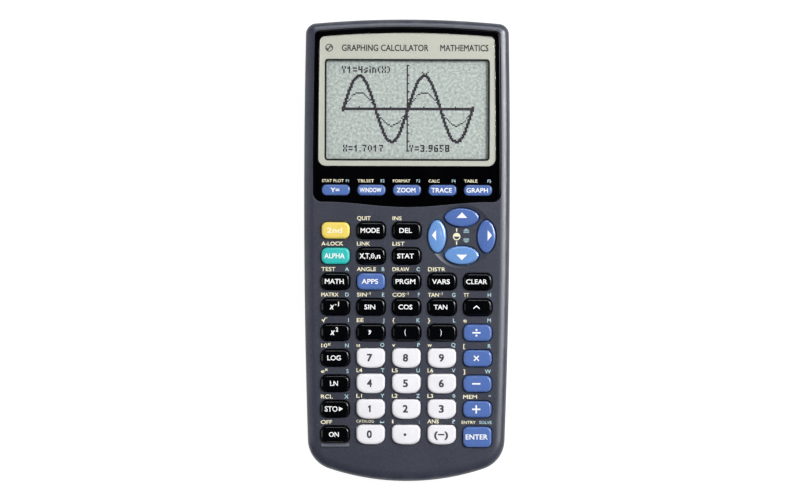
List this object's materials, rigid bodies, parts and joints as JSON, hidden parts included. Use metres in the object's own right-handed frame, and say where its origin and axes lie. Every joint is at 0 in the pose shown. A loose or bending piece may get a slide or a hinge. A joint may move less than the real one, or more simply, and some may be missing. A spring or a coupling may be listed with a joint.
{
  "type": "graphing calculator",
  "caption": "Handheld graphing calculator with a wide display behind a window, rows of keys, arrow keys and a battery door in the back.",
  "frame": {"origin": "on the table under the middle of the case, with the calculator lying on its back", "axes": "+Z out of the display, +Y towards the display end, +X to the right of a person who faces the keys"},
  "size_m": [0.0824, 0.185, 0.0225],
  "materials": {
    "case_grey": "fine moulded texture, dark blue-grey",
    "bezel_black": "polished black",
    "key_black": "satin black",
    "key_blue": "satin blue",
    "key_white": "satin white",
    "key_yellow": "satin yellow",
    "key_green": "satin green",
    "lens_clear": "clear moulded plastic with a beige printed border",
    "lcd_glass": "grey-green liquid-crystal glass",
    "mat_rubber": "matte silicone",
    "board_green": "green solder mask",
    "cell_jacket": "printed steel jacket"
  },
  "bodies": {
    "case": {"front_case": "case_grey", "rear_case": "case_grey", "display_bezel": "bezel_black", "display_window": "lens_clear", "lcd_panel": "lcd_glass", "keypad_mat": "mat_rubber", "circuit_board": "board_green", "cell_pair_left": "cell_jacket", "cell_pair_right": "cell_jacket"},
    "battery_door": {"battery_door": "case_grey"},
    "key_on": {"key_on": "key_black"},
    "key_0": {"key_0": "key_white"},
    "key_point": {"key_point": "key_white"},
    "key_negate": {"key_negate": "key_white"},
    "key_enter": {"key_enter": "key_blue"},
    "key_store": {"key_store": "key_black"},
    "key_1": {"key_1": "key_white"},
    "key_2": {"key_2": "key_white"},
    "key_3": {"key_3": "key_white"},
    "key_plus": {"key_plus": "key_blue"},
    "key_ln": {"key_ln": "key_black"},
    "key_4": {"key_4": "key_white"},
    "key_5": {"key_5": "key_white"},
    "key_6": {"key_6": "key_white"},
    "key_minus": {"key_minus": "key_blue"},
    "key_log": {"key_log": "key_black"},
    "key_7": {"key_7": "key_white"},
    "key_8": {"key_8": "key_white"},
    "key_9": {"key_9": "key_white"},
    "key_multiply": {"key_multiply": "key_blue"},
    "key_square": {"key_square": "key_black"},
    "key_comma": {"key_comma": "key_black"},
    "key_paren_open": {"key_paren_open": "key_black"},
    "key_paren_close": {"key_paren_close": "key_black"},
    "key_divide": {"key_divide": "key_blue"},
    "key_inverse": {"key_inverse": "key_black"},
    "key_sin": {"key_sin": "key_black"},
    "key_cos": {"key_cos": "key_black"},
    "key_tan": {"key_tan": "key_black"},
    "key_power": {"key_power": "key_black"},
    "key_math": {"key_math": "key_black"},
    "key_apps": {"key_apps": "key_blue"},
    "key_program": {"key_program": "key_black"},
    "key_vars": {"key_vars": "key_black"},
    "key_clear": {"key_clear": "key_black"},
    "key_alpha": {"key_alpha": "key_green"},
    "key_variable": {"key_variable": "key_black"},
    "key_stat": {"key_stat": "key_black"},
    "key_second": {"key_second": "key_yellow"},
    "key_mode": {"key_mode": "key_black"},
    "key_delete": {"key_delete": "key_black"},
    "key_y_equals": {"key_y_equals": "key_blue"},
    "key_window": {"key_window": "key_blue"},
    "key_zoom": {"key_zoom": "key_blue"},
    "key_trace": {"key_trace": "key_blue"},
    "key_graph": {"key_graph": "key_blue"},
    "key_up": {"key_up": "key_blue"},
    "key_down": {"key_down": "key_blue"},
    "key_left": {"key_left": "key_blue"},
    "key_right": {"key_right": "key_blue"}
  },
  "joints": [
    {"name": "battery_door_hinge", "type": "hinge", "parent": "case", "child": "battery_door", "pos_m": [0, 0.031, 0.0006], "axis": [-1, 0, 0], "range_deg": [0, 75]},
    {"name": "key_on_press", "type": "slide", "parent": "case", "child": "key_on", "axis": [0, 0, -1], "range_m": [0, 0.001], "stiffness_N_per_m": 150, "springref_m": -0.0005},
    {"name": "key_0_press", "type": "slide", "parent": "case", "child": "key_0", "axis": [0, 0, -1], "range_m": [0, 0.001], "stiffness_N_per_m": 150, "springref_m": -0.0005},
    {"name": "key_point_press", "type": "slide", "parent": "case", "child": "key_point", "axis": [0, 0, -1], "range_m": [0, 0.001], "stiffness_N_per_m": 150, "springref_m": -0.0005},
    {"name": "key_negate_press", "type": "slide", "parent": "case", "child": "key_negate", "axis": [0, 0, -1], "range_m": [0, 0.001], "stiffness_N_per_m": 150, "springref_m": -0.0005},
    {"name": "key_enter_press", "type": "slide", "parent": "case", "child": "key_enter", "axis": [0, 0, -1], "range_m": [0, 0.001], "stiffness_N_per_m": 150, "springref_m": -0.0005},
    {"name": "key_store_press", "type": "slide", "parent": "case", "child": "key_store", "axis": [0, 0, -1], "range_m": [0, 0.001], "stiffness_N_per_m": 150, "springref_m": -0.0005},
    {"name": "key_1_press", "type": "slide", "parent": "case", "child": "key_1", "axis": [0, 0, -1], "range_m": [0, 0.001], "stiffness_N_per_m": 150, "springref_m": -0.0005},
    {"name": "key_2_press", "type": "slide", "parent": "case", "child": "key_2", "axis": [0, 0, -1], "range_m": [0, 0.001], "stiffness_N_per_m": 150, "springref_m": -0.0005},
    {"name": "key_3_press", "type": "slide", "parent": "case", "child": "key_3", "axis": [0, 0, -1], "range_m": [0, 0.001], "stiffness_N_per_m": 150, "springref_m": -0.0005},
    {"name": "key_plus_press", "type": "slide", "parent": "case", "child": "key_plus", "axis": [0, 0, -1], "range_m": [0, 0.001], "stiffness_N_per_m": 150, "springref_m": -0.0005},
    {"name": "key_ln_press", "type": "slide", "parent": "case", "child": "key_ln", "axis": [0, 0, -1], "range_m": [0, 0.001], "stiffness_N_per_m": 150, "springref_m": -0.0005},
    {"name": "key_4_press", "type": "slide", "parent": "case", "child": "key_4", "axis": [0, 0, -1], "range_m": [0, 0.001], "stiffness_N_per_m": 150, "springref_m": -0.0005},
    {"name": "key_5_press", "type": "slide", "parent": "case", "child": "key_5", "axis": [0, 0, -1], "range_m": [0, 0.001], "stiffness_N_per_m": 150, "springref_m": -0.0005},
    {"name": "key_6_press", "type": "slide", "parent": "case", "child": "key_6", "axis": [0, 0, -1], "range_m": [0, 0.001], "stiffness_N_per_m": 150, "springref_m": -0.0005},
    {"name": "key_minus_press", "type": "slide", "parent": "case", "child": "key_minus", "axis": [0, 0, -1], "range_m": [0, 0.001], "stiffness_N_per_m": 150, "springref_m": -0.0005},
    {"name": "key_log_press", "type": "slide", "parent": "case", "child": "key_log", "axis": [0, 0, -1], "range_m": [0, 0.001], "stiffness_N_per_m": 150, "springref_m": -0.0005},
    {"name": "key_7_press", "type": "slide", "parent": "case", "child": "key_7", "axis": [0, 0, -1], "range_m": [0, 0.001], "stiffness_N_per_m": 150, "springref_m": -0.0005},
    {"name": "key_8_press", "type": "slide", "parent": "case", "child": "key_8", "axis": [0, 0, -1], "range_m": [0, 0.001], "stiffness_N_per_m": 150, "springref_m": -0.0005},
    {"name": "key_9_press", "type": "slide", "parent": "case", "child": "key_9", "axis": [0, 0, -1], "range_m": [0, 0.001], "stiffness_N_per_m": 150, "springref_m": -0.0005},
    {"name": "key_multiply_press", "type": "slide", "parent": "case", "child": "key_multiply", "axis": [0, 0, -1], "range_m": [0, 0.001], "stiffness_N_per_m": 150, "springref_m": -0.0005},
    {"name": "key_square_press", "type": "slide", "parent": "case", "child": "key_square", "axis": [0, 0, -1], "range_m": [0, 0.001], "stiffness_N_per_m": 150, "springref_m": -0.0005},
    {"name": "key_comma_press", "type": "slide", "parent": "case", "child": "key_comma", "axis": [0, 0, -1], "range_m": [0, 0.001], "stiffness_N_per_m": 150, "springref_m": -0.0005},
    {"name": "key_paren_open_press", "type": "slide", "parent": "case", "child": "key_paren_open", "axis": [0, 0, -1], "range_m": [0, 0.001], "stiffness_N_per_m": 150, "springref_m": -0.0005},
    {"name": "key_paren_close_press", "type": "slide", "parent": "case", "child": "key_paren_close", "axis": [0, 0, -1], "range_m": [0, 0.001], "stiffness_N_per_m": 150, "springref_m": -0.0005},
    {"name": "key_divide_press", "type": "slide", "parent": "case", "child": "key_divide", "axis": [0, 0, -1], "range_m": [0, 0.001], "stiffness_N_per_m": 150, "springref_m": -0.0005},
    {"name": "key_inverse_press", "type": "slide", "parent": "case", "child": "key_inverse", "axis": [0, 0, -1], "range_m": [0, 0.001], "stiffness_N_per_m": 150, "springref_m": -0.0005},
    {"name": "key_sin_press", "type": "slide", "parent": "case", "child": "key_sin", "axis": [0, 0, -1], "range_m": [0, 0.001], "stiffness_N_per_m": 150, "springref_m": -0.0005},
    {"name": "key_cos_press", "type": "slide", "parent": "case", "child": "key_cos", "axis": [0, 0, -1], "range_m": [0, 0.001], "stiffness_N_per_m": 150, "springref_m": -0.0005},
    {"name": "key_tan_press", "type": "slide", "parent": "case", "child": "key_tan", "axis": [0, 0, -1], "range_m": [0, 0.001], "stiffness_N_per_m": 150, "springref_m": -0.0005},
    {"name": "key_power_press", "type": "slide", "parent": "case", "child": "key_power", "axis": [0, 0, -1], "range_m": [0, 0.001], "stiffness_N_per_m": 150, "springref_m": -0.0005},
    {"name": "key_math_press", "type": "slide", "parent": "case", "child": "key_math", "axis": [0, 0, -1], "range_m": [0, 0.001], "stiffness_N_per_m": 150, "springref_m": -0.0005},
    {"name": "key_apps_press", "type": "slide", "parent": "case", "child": "key_apps", "axis": [0, 0, -1], "range_m": [0, 0.001], "stiffness_N_per_m": 150, "springref_m": -0.0005},
    {"name": "key_program_press", "type": "slide", "parent": "case", "child": "key_program", "axis": [0, 0, -1], "range_m": [0, 0.001], "stiffness_N_per_m": 150, "springref_m": -0.0005},
    {"name": "key_vars_press", "type": "slide", "parent": "case", "child": "key_vars", "axis": [0, 0, -1], "range_m": [0, 0.001], "stiffness_N_per_m": 150, "springref_m": -0.0005},
    {"name": "key_clear_press", "type": "slide", "parent": "case", "child": "key_clear", "axis": [0, 0, -1], "range_m": [0, 0.001], "stiffness_N_per_m": 150, "springref_m": -0.0005},
    {"name": "key_alpha_press", "type": "slide", "parent": "case", "child": "key_alpha", "axis": [0, 0, -1], "range_m": [0, 0.001], "stiffness_N_per_m": 150, "springref_m": -0.0005},
    {"name": "key_variable_press", "type": "slide", "parent": "case", "child": "key_variable", "axis": [0, 0, -1], "range_m": [0, 0.001], "stiffness_N_per_m": 150, "springref_m": -0.0005},
    {"name": "key_stat_press", "type": "slide", "parent": "case", "child": "key_stat", "axis": [0, 0, -1], "range_m": [0, 0.001], "stiffness_N_per_m": 150, "springref_m": -0.0005},
    {"name": "key_second_press", "type": "slide", "parent": "case", "child": "key_second", "axis": [0, 0, -1], "range_m": [0, 0.001], "stiffness_N_per_m": 150, "springref_m": -0.0005},
    {"name": "key_mode_press", "type": "slide", "parent": "case", "child": "key_mode", "axis": [0, 0, -1], "range_m": [0, 0.001], "stiffness_N_per_m": 150, "springref_m": -0.0005},
    {"name": "key_delete_press", "type": "slide", "parent": "case", "child": "key_delete", "axis": [0, 0, -1], "range_m": [0, 0.001], "stiffness_N_per_m": 150, "springref_m": -0.0005},
    {"name": "key_y_equals_press", "type": "slide", "parent": "case", "child": "key_y_equals", "axis": [0, 0, -1], "range_m": [0, 0.0008], "stiffness_N_per_m": 150, "springref_m": -0.0005},
    {"name": "key_window_press", "type": "slide", "parent": "case", "child": "key_window", "axis": [0, 0, -1], "range_m": [0, 0.0008], "stiffness_N_per_m": 150, "springref_m": -0.0005},
    {"name": "key_zoom_press", "type": "slide", "parent": "case", "child": "key_zoom", "axis": [0, 0, -1], "range_m": [0, 0.0008], "stiffness_N_per_m": 150, "springref_m": -0.0005},
    {"name": "key_trace_press", "type": "slide", "parent": "case", "child": "key_trace", "axis": [0, 0, -1], "range_m": [0, 0.0008], "stiffness_N_per_m": 150, "springref_m": -0.0005},
    {"name": "key_graph_press", "type": "slide", "parent": "case", "child": "key_graph", "axis": [0, 0, -1], "range_m": [0, 0.0008], "stiffness_N_per_m": 150, "springref_m": -0.0005},
    {"name": "key_up_press", "type": "slide", "parent": "case", "child": "key_up", "axis": [0, 0, -1], "range_m": [0, 0.001], "stiffness_N_per_m": 150, "springref_m": -0.0005},
    {"name": "key_down_press", "type": "slide", "parent": "case", "child": "key_down", "axis": [0, 0, -1], "range_m": [0, 0.001], "stiffness_N_per_m": 150, "springref_m": -0.0005},
    {"name": "key_left_press", "type": "slide", "parent": "case", "child": "key_left", "axis": [0, 0, -1], "range_m": [0, 0.001], "stiffness_N_per_m": 150, "springref_m": -0.0005},
    {"name": "key_right_press", "type": "slide", "parent": "case", "child": "key_right", "axis": [0, 0, -1], "range_m": [0, 0.001], "stiffness_N_per_m": 150, "springref_m": -0.0005}
  ]
}
